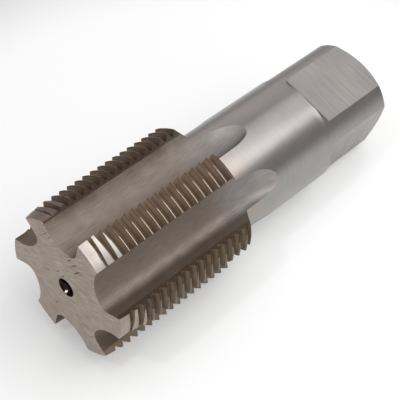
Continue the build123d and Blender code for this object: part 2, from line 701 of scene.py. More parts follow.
    def _flat_row(self, height: float) -> Ring:
        """A row through the square where its flats cut the wall."""
        shank = self.form.shank
        wall, flat = shank.wall(height), shank.flat(height)
        return self._squared(height, wall, flat, self._half_angle(wall, flat))

    def _between(self, low: Ring, high: Ring, steps: int) -> list[Ring]:
        """Round rows that carry the points of one round row over to those of another."""
        radius = self.form.shank.radius
        rows = []
        starts = [math.atan2(p[1], p[0]) for p in low.points]
        stops = [math.atan2(p[1], p[0]) for p in high.points]
        for i in range(1, steps):
            part = i / steps
            height = low.points[0][2] + (high.points[0][2] - low.points[0][2]) * part
            points = []
            for a, b in zip(starts, stops):
                way = a + ((b - a + math.pi) % math.tau - math.pi) * part
                points.append((radius * math.cos(way), radius * math.sin(way), height))
            rows.append(Ring(points, [Region.SHANK for _ in points]))
        return rows

    def _merged(self, ring: Ring) -> Ring:
        """The row without the points of ended flutes, which all lie in one place."""
        flute_points = sum(self.stretches)
        block = self.form.land_steps + flute_points
        keep = [i for i in range(len(ring.points)) if i % block < self.form.land_steps]
        return Ring([ring.points[i] for i in keep], [ring.regions[i] for i in keep])

    @staticmethod
    def _nearest(ring: Ring, like: Ring) -> int:
        """The point of a row that lies nearest in angle to another row's first point."""
        way = Vector(like.points[0]).xy.normalized()
        ways = [Vector(p).xy.normalized() for p in ring.points]
        return min(range(len(ways)), key=lambda i: (ways[i] - way).length)

    def _hole(
        self, mesh: bmesh.types.BMesh, mouth: Sequence[bmesh.types.BMVert], top: float, way: float
    ) -> None:
        """Adds a centre hole behind a ring of vertices.

        Args:
            mesh: The mesh that is being built.
            mouth: The ring at the hole's mouth.
            top: Height of the end face.
            way: 1 where the hole goes up from the face, -1 where it goes down.
        """
        steps = self.form.centre.steps()
        ring = list(mouth)
        for radius, depth in steps[1:-1]:
            turned = [Vector((v.co.x, v.co.y, 0)).normalized() * radius for v in ring]
            above = [mesh.verts.new((p.x, p.y, top + way * depth)) for p in turned]
            self._strip(mesh, ring, above, [Region.CENTRE] * len(ring))
            ring = above
        tip = mesh.verts.new((0, 0, top + way * steps[-1][1]))
        for a, b in zip(ring, ring[1:] + ring[:1]):
            mesh.faces.new((a, b, tip)).material_index = Region.CENTRE.value

    def _mouth(self, mesh: bmesh.types.BMesh, height: float) -> list[bmesh.types.BMVert]:
        """A ring of vertices at a centre hole's mouth."""
        radius = self.form.centre.mouth_d / 2
        ways = [math.tau * i / self.mouth_steps for i in range(self.mouth_steps)]
        return [mesh.verts.new((radius * math.cos(w), radius * math.sin(w), height)) for w in ways]

    @staticmethod
    def _strip(
        mesh: bmesh.types.BMesh,
        low: Sequence[bmesh.types.BMVert],
        high: Sequence[bmesh.types.BMVert],
        regions: Sequence[Region],
    ) -> None:
        """Joins two rings of vertices with faces that have the given regions."""
        count = len(low)
        for i in range(count):
            j = (i + 1) % count
            face = mesh.faces.new((low[i], low[j], high[j], high[i]))
            face.material_index = regions[i].value

    def _end_face(
        self, mesh: bmesh.types.BMesh, ring: Sequence[bmesh.types.BMVert], top: float, way: float
    ) -> None:
        """Fills an end face between its outline and its centre hole, and adds the hole.

        Args:
            mesh: The mesh that is being built.
            ring: The face's outline.
            top: Height of the face.
            way: 1 where the hole goes up from the face, -1 where it goes down.
        """
        mouth = self._mouth(mesh, top)
        edges = []
        for loop in (list(ring), mouth):
            edges += [self._edge(mesh, a, b) for a, b in zip(loop, loop[1:] + loop[:1])]
        found = bmesh.ops.triangle_fill(mesh, edges=edges, use_beauty=True, normal=(0, 0, -way))
        for item in found["geom"]:
            if isinstance(item, bmesh.types.BMFace):
                item.material_index = Region.FRONT.value
        self._hole(mesh, mouth, top, way)

    @staticmethod
    def _edge(mesh: bmesh.types.BMesh, a: bmesh.types.BMVert, b: bmesh.types.BMVert) -> bmesh.types.BMEdge:
        """The edge between two vertices, made if it isn't there."""
        return mesh.edges.get((a, b)) or mesh.edges.new((a, b))

    def build(self) -> bpy.types.Object:
        """Builds the bar's mesh, standing on its front face, in millimetres.

        Returns:
            The new object, not yet laid down or dressed.
        """
        mesh = bmesh.new()
        self.length_layer = mesh.verts.layers.float.new(OUTLINE)
        fluted = self._fluted_rows()
        square = self._square_rows()
        last = self._merged(fluted[-1])
        first = self._nearest(square[0], last)
        square = [ring.started(first) for ring in square]
        rows = [self._vertices(mesh, ring) for ring in fluted]
        for low, high, ring in zip(rows, rows[1:], fluted):
            self._strip(mesh, low, high, ring.regions)
        block = self.form.land_steps + sum(self.stretches)
        behind = [v for i, v in enumerate(rows[-1]) if i % block < self.form.land_steps]
        ring = last
        for after in self._between(last, square[0], self.round_rows) + square:
            above = self._vertices(mesh, after)
            self._strip(mesh, behind, above, ring.regions)
            behind, ring = above, after
        self._end_face(mesh, rows[0], 0.0, 1.0)
        self._end_face(mesh, behind, self.form.shank.overall, -1.0)
        clean(mesh, self.merge)
        shade_edges(mesh, math.radians(self.sharp))
        data = bpy.data.meshes.new(self.name)
        mesh.to_mesh(data)
        mesh.free()
        piece = bpy.data.objects.new(self.name, data)
        bpy.context.scene.collection.objects.link(piece)
        return piece

    def _vertices(self, mesh: bmesh.types.BMesh, ring: Ring) -> list[bmesh.types.BMVert]:
        """A row's vertices, each with its length along the flute's outline."""
        made = [mesh.verts.new(p) for p in ring.points]
        for vertex, length in zip(made, ring.lengths):
            vertex[self.length_layer] = length
        return made

    @staticmethod
    def dress(piece: bpy.types.Object, finishes: dict[Region, "SteelFinish"]) -> None:
        """Gives the bar's regions their finishes."""
        for region in Region:
            piece.data.materials.append(finishes[region].material())


class Field:
    """A number in a tree of nodes, so that formulas can be written as formulas."""

    def __init__(self, tree: bpy.types.NodeTree, source: bpy.types.NodeSocket | float) -> None:
        """Holds a socket or a constant.

        Args:
            tree: The tree that the formula is built in.
            source: An output socket, or a plain number.
        """
        self.tree = tree
        self.source = source

    def feed(self, target: bpy.types.NodeSocket) -> None:
        """Connects or writes this number to an input socket."""
        if isinstance(self.source, bpy.types.NodeSocket):
            self.tree.links.new(self.source, target)
        else:
            target.default_value = self.source

    def math(self, operation: str, *others: "Field | float") -> "Field":
        """The result of one Math node on this number and others.

        Args:
            operation: The node's operation.
            others: Its further operands.

        Returns:
            The result.
        """
        node = self.tree.nodes.new("ShaderNodeMath")
        node.operation = operation
        for socket, value in zip(node.inputs, (self, *others)):
            known = value if isinstance(value, Field) else Field(self.tree, float(value))
            known.feed(socket)
        return Field(self.tree, node.outputs[0])

    def __add__(self, other: "Field | float") -> "Field":
        """Sum."""
        return self.math("ADD", other)

    def __sub__(self, other: "Field | float") -> "Field":
        """Difference."""
        return self.math("SUBTRACT", other)

    def __mul__(self, other: "Field | float") -> "Field":
        """Product."""
        return self.math("MULTIPLY", other)

    def __truediv__(self, other: "Field | float") -> "Field":
        """Quotient."""
        return self.math("DIVIDE", other)

    def least(self, other: "Field | float") -> "Field":
        """The smaller of two numbers."""
        return self.math("MINIMUM", other)

    def most(self, other: "Field | float") -> "Field":
        """The larger of two numbers."""
        return self.math("MAXIMUM", other)

    def within(self, low: "Field | float", high: "Field | float") -> "Field":
        """The number, kept between two others."""
        return self.most(low).least(high)

    def is_near(self, value: float) -> "Field":
        """1 where the number is within a half of a value, otherwise 0."""
        return self.math("COMPARE", value, 0.5)

    def above(self, value: "Field | float") -> "Field":
        """1 where the number is greater than a value, otherwise 0."""
        return self.math("GREATER_THAN", value)

    def mix(self, other: "Field", part: "Field") -> "Field":
        """This number where part is 0, and the other where it is 1."""
        return self + (other - self) * part


@dataclass
class LandTeeth:
    """The thread teeth on all lands, made by one Geometry Nodes tree.

    Each land's teeth are a closed band of rows that follow the helix. A row's height and radius
    come from the thread's form, cut down by the lead's taper and by the cone behind the thread.

    Attributes:
        form: The tap's sizes.
        turns: Turns of the helix that the rows reach over.
        first_turn: The first of them.
        root_rows: Rows over the rounding of a root.
        crest_rows: Rows over a crest.
        settle_rounds: Times that a point's height, radius and angle are fitted to each other.
        lead_slack: How far inside the lead's taper a point still counts as ground.
        side_share: Share of a face's corners that make it a side face.
        full_share: Share of its corners that make it a face of another region.
        merge: Distance under which two vertices are one.
        sharp: Angle over which an edge is sharp, in degrees.
        sharp_between: The same for an edge between two regions.
        name: The piece's name.
    """

    form: TapForm
    turns: int = 21
    first_turn: int = -2
    root_rows: int = 5
    crest_rows: int = 7
    settle_rounds: int = 2
    lead_slack: float = 0.004
    side_share: float = 0.2
    full_share: float = 0.95
    merge: float = 2e-4
    sharp: float = 40.0
    sharp_between: float = 30.0
    name: str = "land_teeth"

    @property
    def rows_per_turn(self) -> int:
        """Rows from one root to the next."""
        return self.root_rows + self.crest_rows

    def _inputs(self) -> dict[str, float]:
        """The tree's named inputs with their values, in millimetres and degrees."""
        thread, lead, flute = self.form.thread, self.form.lead, self.form.flute
        return {
            "Pitch": thread.pitch,
            "Crest Radius": thread.crest_r,
            "Root Radius": thread.root_r,
            "Seat Radius": self.form.seat_r,
            "Flank Length": thread.flank_run,
            "Flat Length": thread.flat,
            "Rounding Radius": thread.round_r,
            "Rounding Half": thread.round_half,
            "First Turn Height": thread.start,
            "Land Angle": flute.land_angle,
            "Rake Angle": flute.rake_angle,
            "Core Radius": flute.core_r,
            "Floor Radius": flute.floor_r,
            "Lead Rake Radius": lead.rake_r,
            "Lead Rake Slope": lead.rake_slope,
            "Lead Heel Radius": lead.heel_r,
            "Lead Heel Flat": lead.heel_flat,
            "Lead Heel Slope": lead.heel_slope,
            "Filled Height": lead.filled,
            "Root Opening": lead.opening,
            "Cone Start": thread.end,
            "Cone Slope": 1 / thread.cone_slope,
            "Seat End": self.form.seat_end,
        }

    def _tree(self, finishes: dict[ToothRegion, "SteelFinish"]) -> bpy.types.NodeTree:
        """Builds the tree that makes the teeth.

        Args:
            finishes: The finish of each region.

        Returns:
            The tree, with its inputs still at their defaults.
        """
        tree = bpy.data.node_groups.new("land_teeth_tree", "GeometryNodeTree")
        tree.interface.new_socket("Geometry", in_out="OUTPUT", socket_type="NodeSocketGeometry")
        for name in self._inputs():
            tree.interface.new_socket(name, in_out="INPUT", socket_type="NodeSocketFloat")
        entry = tree.nodes.new("NodeGroupInput")
        given = {s.name: Field(tree, s) for s in entry.outputs if s.name}
        columns = 2 * (self.form.land_steps + 1) + 1
        rows = self.turns * self.rows_per_turn + 2
        grid = tree.nodes.new("GeometryNodeMeshGrid")
        grid.inputs["Vertices X"].default_value = rows
        grid.inputs["Vertices Y"].default_value = columns
        line = tree.nodes.new("GeometryNodeMeshLine")
        line.inputs["Count"].default_value = self.form.flute.count
        spread = tree.nodes.new("GeometryNodeInstanceOnPoints")
        tree.links.new(line.outputs["Mesh"], spread.inputs["Points"])
        tree.links.new(grid.outputs["Mesh"], spread.inputs["Instance"])
        real = tree.nodes.new("GeometryNodeRealizeInstances")
        tree.links.new(spread.outputs["Instances"], real.inputs["Geometry"])
        shape = self._shape(tree, given, rows, columns)
        placed = tree.nodes.new("GeometryNodeSetPosition")
        tree.links.new(real.outputs["Geometry"], placed.inputs["Geometry"])
        tree.links.new(shape["position"], placed.inputs["Position"])
        kept = placed.outputs["Geometry"]
        for name in ("lead", "crest", "side", "end", LAND):
            store = tree.nodes.new("GeometryNodeStoreNamedAttribute")
            store.data_type = "FLOAT"
            store.domain = "POINT"
            store.inputs["Name"].default_value = name
            tree.links.new(kept, store.inputs["Geometry"])
            tree.links.new(shape[name], store.inputs["Value"])
            kept = store.outputs["Geometry"]
        kept = self._split_by_region(tree, kept, finishes)
        leave = tree.nodes.new("NodeGroupOutput")
        tree.links.new(kept, leave.inputs["Geometry"])
        return tree

    def _shape(
        self, tree: bpy.types.NodeTree, given: dict[str, Field], rows: int, columns: int
    ) -> dict[str, bpy.types.NodeSocket]:
        """The formulas for each vertex of the grids.

        Args:
            tree: The tree that is being built.
            given: The tree's inputs.
            rows: Vertices of a grid along the thread.
            columns: Vertices of a grid round a land's band of teeth.

        Returns:
            Sockets for the position and for the marks that the regions are told by.
        """
        index = Field(tree, tree.nodes.new("GeometryNodeInputIndex").outputs[0])
        per_land = float(rows * columns)
        land = ((index + 0.5) / per_land).math("FLOOR")
        local = index - land * per_land
        row = ((local + 0.5) / columns).math("FLOOR")
        column = local - row * columns
        steps = float(self.form.land_steps)
        across = ((column + 0.5).math("PINGPONG", steps + 1) - 0.5) / steps
        inner = column.above(steps + 0.5) * (column * -1.0).above(-(2 * steps + 1.5))
        turn = ((row - 1.0) / self.rows_per_turn + 1e-4).math("FLOOR")
        kind = row - 1.0 - turn * self.rows_per_turn
        first_row, last_row = row.is_near(0.0), row.is_near(rows - 1.0)
        phase = given["First Turn Height"] + given["Pitch"] * (land / self.form.flute.count)
        base = phase + given["Pitch"] * (turn + float(self.first_turn))
        way = self._way(given, given["Crest Radius"], across)
        for _ in range(self.settle_rounds):
            height = self._row_height(given, base, way, kind)
            radius = self._surface(given, phase, height, way)
            way = self._way(given, radius, across)
        height = self._row_height(given, base, way, kind) * (first_row * -1.0 + 1.0)
        height = height.mix(given["Seat End"], last_row)
        low = inner.most(first_row + last_row)
        radius = self._surface(given, phase, height, way).mix(given["Seat Radius"], low)
        way = self._way(given, radius, across)
        angle = way + land * math.radians(self.form.flute.sector)
        combine = tree.nodes.new("ShaderNodeCombineXYZ")
        (radius * angle.math("COSINE")).feed(combine.inputs[0])
        (radius * angle.math("SINE")).feed(combine.inputs[1])
        height.feed(combine.inputs[2])
        outer = low * -1.0 + 1.0
        on_crest = kind.above(self.root_rows - 0.5) * outer
        lead, _ = self._lead(given, height, way)
        on_lead = outer * (radius + self.lead_slack).above(lead)
        return {
            "position": combine.outputs[0],
            "lead": on_lead.source,
            "crest": on_crest.source,
            "side": low.source,
            "end": (height * -1.0).above(-1e-4).source,
            LAND: across.source,
        }

    def _way(self, given: dict[str, Field], radius: Field, across: Field) -> Field:
        """Angle of a point from its land's middle, in radians.

        Args:
            given: The tree's inputs.
            radius: The point's radius.
            across: 0 at the cutting edge and 1 at the heel.

        Returns:
            The angle, which follows the rake face and the flute's floor at the two sides.
        """
        degree = math.radians(1.0)
        half = given["Land Angle"] * (degree / 2)
        lean = given["Rake Angle"] * degree
        rake = (given["Crest Radius"] * lean.math("SINE") / radius).math("ARCSINE") - lean - half
        section = FluteSection(self.form)
        far = math.hypot(section.floor_u, section.floor_v)
        toward = math.atan2(section.floor_v, section.floor_u)
        floor = given["Floor Radius"]
        cosine = (radius * radius + far**2 - floor * floor) / (radius * (2 * far))
        swing = cosine.math("ARCCOSINE")
        sector = math.radians(self.form.flute.sector)
        heel = (swing * -1.0) + (sector - toward) - half
        return rake.mix(heel, across)

    @staticmethod
    def _lead(given: dict[str, Field], height: Field, way: Field) -> tuple[Field, Field]:
        """Radius and slope of the lead's taper at a height and angle on a land."""
        part = (way / (given["Land Angle"] * math.radians(1.0)) + 0.5).within(0.0, 1.0)
        past = height - given["Lead Heel Flat"]
        rake = given["Lead Rake Radius"] + given["Lead Rake Slope"] * height
        heel = given["Lead Heel Radius"] + given["Lead Heel Slope"] * past.most(0.0)
        slope = given["Lead Rake Slope"].mix(given["Lead Heel Slope"] * past.above(0.0), part)
        return rake.mix(heel, part), slope

    def _surface(self, given: dict[str, Field], phase: Field, height: Field, way: Field) -> Field:
        """Radius of the toothed surface at a height and angle.

        Args:
            given: The tree's inputs.
            phase: Height of the land's first turn.
            height: Height over the front face.
            way: Angle from the land's middle, in radians.

        Returns:
            The radius, never below the teeth's seat.
        """
        pitch, reach = given["Pitch"], given["Rounding Half"]
        slope = (given["Crest Radius"] - given["Root Radius"]) / given["Flank Length"]
        middle = phase + pitch * (way / math.tau) + given["Flat Length"] * 0.5
        half = pitch * 0.5
        off = ((height - middle + half).math("FLOORED_MODULO", pitch) - half).math("ABSOLUTE")
        bow = self._bow(given, reach)
        rise = self._bow(given, off.least(reach)) + bow - self._bow(given, (half - off).least(reach))
        rise = rise + (off.within(reach, half - reach) - reach) * slope
        tooth = given["Root Radius"] + rise
        cone = given["Crest Radius"] - (height - given["Cone Start"]) * given["Cone Slope"]
        lead, _ = self._lead(given, height, way)
        filled = lead - ((height - given["Filled Height"]) * given["Root Opening"]).most(0.0)
        return tooth.most(filled).least(lead).least(cone).most(given["Seat Radius"])

    @staticmethod
    def _bow(given: dict[str, Field], off: Field) -> Field:
        """How far a rounding has risen at a distance from its middle."""
        radius = given["Rounding Radius"]
        return radius - (radius * radius - off * off).math("SQRT")

    def _row_height(self, given: dict[str, Field], base: Field, way: Field, kind: Field) -> Field:
        """Height of a row's point, on the line where two of the tooth's surfaces meet.

        Args:
            given: The tree's inputs.
            base: Height of the row's turn at the land's middle.
            way: Angle from the land's middle, in radians.
            kind: Number of the row in its turn, first over the root and then over the crest.

        Returns:
            The height, kept between the front face and the seat's end.
        """
        pitch, run, reach = given["Pitch"], given["Flank Length"], given["Rounding Half"]
        root = given["Root Radius"]
        slope = (given["Crest Radius"] - root) / run
        start = base + pitch * (way / math.tau)
        foot, heel = start + given["Flat Length"], start + pitch
        middle = start + given["Flat Length"] * 0.5
        top = middle + pitch * 0.5
        lead, lead_rise = self._lead(given, top, way)
        lead_base = lead - lead_rise * top
        cone_fall = given["Cone Slope"]
        cone_base = given["Crest Radius"] + given["Cone Start"] * cone_fall
        up = (top - reach).least((lead_base - root + foot * slope) / (slope - lead_rise))
        up = up.least((cone_base - root + foot * slope) / (slope + cone_fall)).most(middle + reach)
        down = (top + reach).most((root + heel * slope - lead_base) / (slope + lead_rise))
        down = down.most((root + heel * slope - cone_base) / (slope - cone_fall))
        down = down.least(middle + pitch - reach)
        over_root = middle + reach * (kind * (2.0 / (self.root_rows - 1)) - 1.0)
        part = (kind - float(self.root_rows)) / (self.crest_rows - 1)
        over_crest = up + (down - up) * part
        height = over_root.mix(over_crest, kind.above(self.root_rows - 0.5))
        return height.within(0.0, given["Seat End"])

    def _split_by_region(
        self,
        tree: bpy.types.NodeTree,
        kept: bpy.types.NodeSocket,
        finishes: dict[ToothRegion, "SteelFinish"],
    ) -> bpy.types.NodeSocket:
        """Merges doubled points and gives each region its material.

        Args:
            tree: The tree that is being built.
            kept: The geometry so far.
            finishes: The finish of each region.

        Returns:
            The finished geometry's socket.
        """
        merge = tree.nodes.new("GeometryNodeMergeByDistance")
        merge.inputs["Distance"].default_value = self.merge
        tree.links.new(kept, merge.inputs["Geometry"])
        real = tree.nodes.new("GeometryNodeRealizeInstances")
        tree.links.new(merge.outputs["Geometry"], real.inputs["Geometry"])
        kept = real.outputs["Geometry"]
        for region in ToothRegion:
            node = tree.nodes.new("GeometryNodeSetMaterial")
            node.inputs["Material"].default_value = finishes[region].material()
            tree.links.new(kept, node.inputs["Geometry"])
            if region is not ToothRegion.FLANK:
                self._region_mark(tree, region).feed(node.inputs["Selection"])
            kept = node.outputs["Geometry"]
        return kept

    def _region_mark(self, tree: bpy.types.NodeTree, region: ToothRegion) -> Field:
        """1 on the faces of a region, told by the share of their corners that carry its mark."""
        name = region.name.lower()
        read = tree.nodes.new("GeometryNodeInputNamedAttribute")
        read.data_type = "FLOAT"
        read.inputs["Name"].default_value = name
        over = tree.nodes.new("GeometryNodeFieldOnDomain")
        over.domain = "FACE"
        over.data_type = "FLOAT"
        tree.links.new(read.outputs["Attribute"], over.inputs["Value"])
        needed = self.side_share if region is ToothRegion.SIDE else self.full_share
        return Field(tree, over.outputs["Value"]).above(needed)

    def build(self, finishes: dict[ToothRegion, "SteelFinish"]) -> bpy.types.Object:
        """Builds the teeth's mesh, standing on the front face, in millimetres.

        Args:
            finishes: The finish of each region.

        Returns:
            The new object, with plain mesh data and no modifier.
        """
        carrier = bpy.data.objects.new(self.name, bpy.data.meshes.new("teeth_carrier"))
        bpy.context.scene.collection.objects.link(carrier)
        tree = self._tree(finishes)
        modifier = carrier.modifiers.new("teeth", "NODES")
        modifier.node_group = tree
        values = self._inputs()
        for item in tree.interface.items_tree:
            if item.item_type == "SOCKET" and item.in_out == "INPUT":
                modifier[item.identifier] = float(values[item.name])
        graph = bpy.context.evaluated_depsgraph_get()
        plain = bpy.data.meshes.new_from_object(carrier.evaluated_get(graph), depsgraph=graph)
        carrier.modifiers.remove(modifier)
        carrier.data = plain
        plain.name = self.name
        self._close(plain)
        return carrier

    def _close(self, mesh: bpy.types.Mesh) -> None:
        """Removes faces without area and points all faces outwards."""
        work = bmesh.new()
        work.from_mesh(mesh)
        clean(work, self.merge)
        shade_edges(work, math.radians(self.sharp), math.radians(self.sharp_between))
        work.to_mesh(mesh)
        work.free()


@dataclass
class Resting:
    """How the standing tap is laid down on two of its lands and the end of its shank."""

    form: TapForm

    def tilt(self) -> float:
        """How far the shank end is lower than the cutting end, in radians."""
        form, flute, shank = self.form, self.form.flute, self.form.shank
        half_gap = math.radians(flute.sector - flute.land_angle) / 2
        land_drop = form.thread.crest_r * math.cos(half_gap)
        half_flat = math.acos(shank.across / shank.diameter)
        middles = [math.radians(shank.turn + 90 * i) for i in range(4)]
        edges = [middle + side * half_flat for middle in middles for side in (-1, 1)]
        shank_drop = max(shank.radius * math.cos(edge - math.pi / 2) for edge in edges)
        return math.atan2(land_drop - shank_drop, shank.chamfer_start - form.thread.end)

    def turned(self) -> Matrix:
        """The turn from standing to lying, in millimetres."""
        lying = Matrix(((0, 0, 1), (-1, 0, 0), (0, -1, 0))).to_4x4()
        return Matrix.Rotation(self.tilt(), 4, "Y") @ lying

    def lay(self, pieces: Iterable[bpy.types.Object], box: tuple[Vector, Vector]) -> Matrix:
        """Lays standing pieces down in place and in metres.

        Args:
            pieces: The objects, whose meshes are moved.
            box: The lowest and highest corners of the CAD node.

        Returns:
            The matrix from standing millimetres to the frame's metres.
        """
        pieces = list(pieces)
        turn = self.turned()
        places = [turn @ v.co for piece in pieces for v in piece.data.vertices]
        low = Vector([min(p[i] for p in places) for i in range(3)])
        high = Vector([max(p[i] for p in places) for i in range(3)])
        middle = (box[0] + box[1]) / 2
        shift = Vector((middle.x, middle.y, box[0].z)) / MM
        shift -= Vector(((low.x + high.x) / 2, (low.y + high.y) / 2, low.z))
        place = Matrix.Scale(MM, 4) @ Matrix.Translation(shift) @ turn
        for piece in pieces:
            piece.data.transform(place)
        return place


@dataclass(frozen=True)
class Axes:
    """The standing tap's own coordinates in a material, in millimetres."""

    standing: bpy.types.NodeSocket
    radius: Field
    height: Field


class Graph:
    """Writes the nodes of a material or a group."""

    def __init__(self, tree: bpy.types.NodeTree) -> None:
        """Holds the tree that nodes are added to."""
        self.tree = tree

    def add(self, kind: str, **settings: object) -> bpy.types.Node:
        """A new node with some of its settings changed."""
        node = self.tree.nodes.new(kind)
        for name, value in settings.items():
            setattr(node, name, value)
        return node

    def link(self, source: bpy.types.NodeSocket, target: bpy.types.NodeSocket) -> None:
        """Connects two sockets."""
        self.tree.links.new(source, target)

    def parts(self, vector: bpy.types.NodeSocket) -> list[Field]:
        """The three numbers of a vector or colour."""
        node = self.add("ShaderNodeSeparateXYZ")
        self.link(vector, node.inputs[0])
        return [Field(self.tree, s) for s in node.outputs]

    def vector(self, *numbers: Field) -> bpy.types.NodeSocket:
        """A vector of up to three numbers."""
        node = self.add("ShaderNodeCombineXYZ")
        for number, socket in zip(numbers, node.inputs):
            number.feed(socket)
        return node.outputs[0]

    def attribute(self, name: str) -> Field:
        """A number stored in the mesh."""
        return Field(self.tree, self.add("ShaderNodeAttribute", attribute_name=name).outputs["Fac"])

    def axes(self) -> Axes:
        """The standing tap's coordinates."""
        node = self.add("ShaderNodeGroup", node_tree=bpy.data.node_groups[AXES])
        numbers = [Field(self.tree, node.outputs[n]) for n in ("Radius", "Height")]
        return Axes(node.outputs["Standing"], *numbers)

    def noise(self, where: bpy.types.NodeSocket, scale: float, detail: float = 2.0) -> Field:
        """Cloudy noise about 0.5.

        Args:
            where: The coordinates.
            scale: Clouds for each unit of these.
            detail: How many finer layers it has.

        Returns:
            The noise.
        """
        node = self.add("ShaderNodeTexNoise")
        self.link(where, node.inputs["Vector"])
        node.inputs["Scale"].default_value = scale
        node.inputs["Detail"].default_value = detail
        return Field(self.tree, node.outputs[0])

    def ramp(self, value: Field, low: float, high: float) -> Field:
        """0 below one value and 1 above another, with a soft rise between them; or the reverse."""
        node = self.add("ShaderNodeMapRange", interpolation_type="SMOOTHSTEP", clamp=True)
        value.feed(node.inputs["Value"])
        ends = (low, high, 0.0, 1.0) if low < high else (high, low, 1.0, 0.0)
        for name, end in zip(("From Min", "From Max", "To Min", "To Max"), ends):
            node.inputs[name].default_value = end
        return Field(self.tree, node.outputs["Result"])

    def tint(
        self,
        first: Tint | bpy.types.NodeSocket,
        second: Tint | bpy.types.NodeSocket,
        part: Field,
        way: str = "MIX",
    ) -> bpy.types.NodeSocket:
        """A mix of two colours.

        Args:
            first: The colour where part is 0.
            second: The colour where part is 1, or what the first is multiplied by there.
            part: The share of the second.
            way: MIX or MULTIPLY.

        Returns:
            The mixed colour.
        """
        node = self.add("ShaderNodeMix", data_type="RGBA", blend_type=way)
        part.feed(node.inputs[0])
        for socket, color in ((node.inputs[6], first), (node.inputs[7], second)):
            if isinstance(color, tuple):
                socket.default_value = (*color, 1.0)
            else:
                self.link(color, socket)
        return node.outputs[2]

    def specks(self, where: bpy.types.NodeSocket, apart: float, size: float, share: float) -> Field:
        """Scattered round specks.

        Args:
            where: The coordinates, in millimetres.
            apart: Distance between places for a speck.
            size: Radius of the largest specks.
            share: Share of the places that have one.

        Returns:
            1 in a speck and 0 beside it.
        """
        node = self.add("ShaderNodeTexVoronoi")
        self.link(where, node.inputs["Vector"])
        node.inputs["Scale"].default_value = 1.0 / apart
        near = Field(self.tree, node.outputs["Distance"])
        chosen, scale, _ = self.parts(node.outputs["Color"])
        inside = self.ramp(near - scale * (size / apart), 0.0, -0.04)
        return inside * self.ramp(chosen, share, share - 0.01)

    def grain(self, kind: Grain, axes: Axes, width: float, stretch: float) -> bpy.types.NodeSocket:
        """Coordinates in which noise turns into a tool's marks.

        Args:
            kind: Which way the marks run.
            axes: The tap's coordinates.
            width: Width of a mark, in millimetres.
            stretch: How many times longer than wide it is.

        Returns:
            The coordinates, one unit to a mark's width.
        """
        x, y, z = self.parts(axes.standing)
        fine, drawn = 1.0 / width, 1.0 / (width * stretch)
        if kind is Grain.AROUND:
            return self.vector(x * drawn, y * drawn, z * fine)
        if kind is Grain.ALONG:
            return self.vector(x * fine, y * fine, z * drawn)
        if kind is Grain.OUTLINE:
            return self.vector(self.attribute(OUTLINE) * fine, z * drawn)
        bent = (y - BOW_MIDDLE) * (x * -BOW_RATE).math("EXPONENT")
        return self.vector(bent * fine, x * drawn, z * fine)

    def off_side(self, axes: Axes, way: float) -> Field:
        """0 on the side at an angle about the axis, in degrees, and 1 on the others."""
        x, y, _ = self.parts(axes.standing)
        cos, sin = math.cos(math.radians(way)), math.sin(math.radians(way))
        return self.ramp((x * cos + y * sin) / axes.radius, 0.85, 0.6)

    def bump(self, height: Field, depth: float) -> bpy.types.NodeSocket:
        """A normal that follows a relief.

        Args:
            height: The relief, from 0 to 1.
            depth: Its depth, in millimetres.

        Returns:
            The normal.
        """
        node = self.add("ShaderNodeBump")
        node.inputs["Distance"].default_value = depth * MM
        height.feed(node.inputs["Height"])
        return node.outputs["Normal"]


class TapAxes:
    """The node group that turns Object coordinates into the standing tap's own."""

    def __init__(self) -> None:
        """Builds the group, its place not yet known."""
        tree = bpy.data.node_groups.new(AXES, "ShaderNodeTree")
        tree.interface.new_socket("Standing", in_out="OUTPUT", socket_type="NodeSocketVector")
        for name in ("Radius", "Height"):
            tree.interface.new_socket(name, in_out="OUTPUT", socket_type="NodeSocketFloat")
        graph = Graph(tree)
        self.mapping = graph.add("ShaderNodeMapping", vector_type="POINT")
        graph.link(graph.add("ShaderNodeTexCoord").outputs["Object"], self.mapping.inputs["Vector"])
        leave = graph.add("NodeGroupOutput")
        standing = self.mapping.outputs["Vector"]
        graph.link(standing, leave.inputs["Standing"])
        x, y, z = graph.parts(standing)
        (x * x + y * y).math("SQRT").feed(leave.inputs["Radius"])
        z.feed(leave.inputs["Height"])

    def settle(self, place: Matrix) -> None:
        """Sets the group for the way in which the tap has been laid down."""
        location, turn, scale = place.inverted().decompose()
        self.mapping.inputs["Location"].default_value = location
        self.mapping.inputs["Rotation"].default_value = turn.to_euler("XYZ")
        self.mapping.inputs["Scale"].default_value = scale


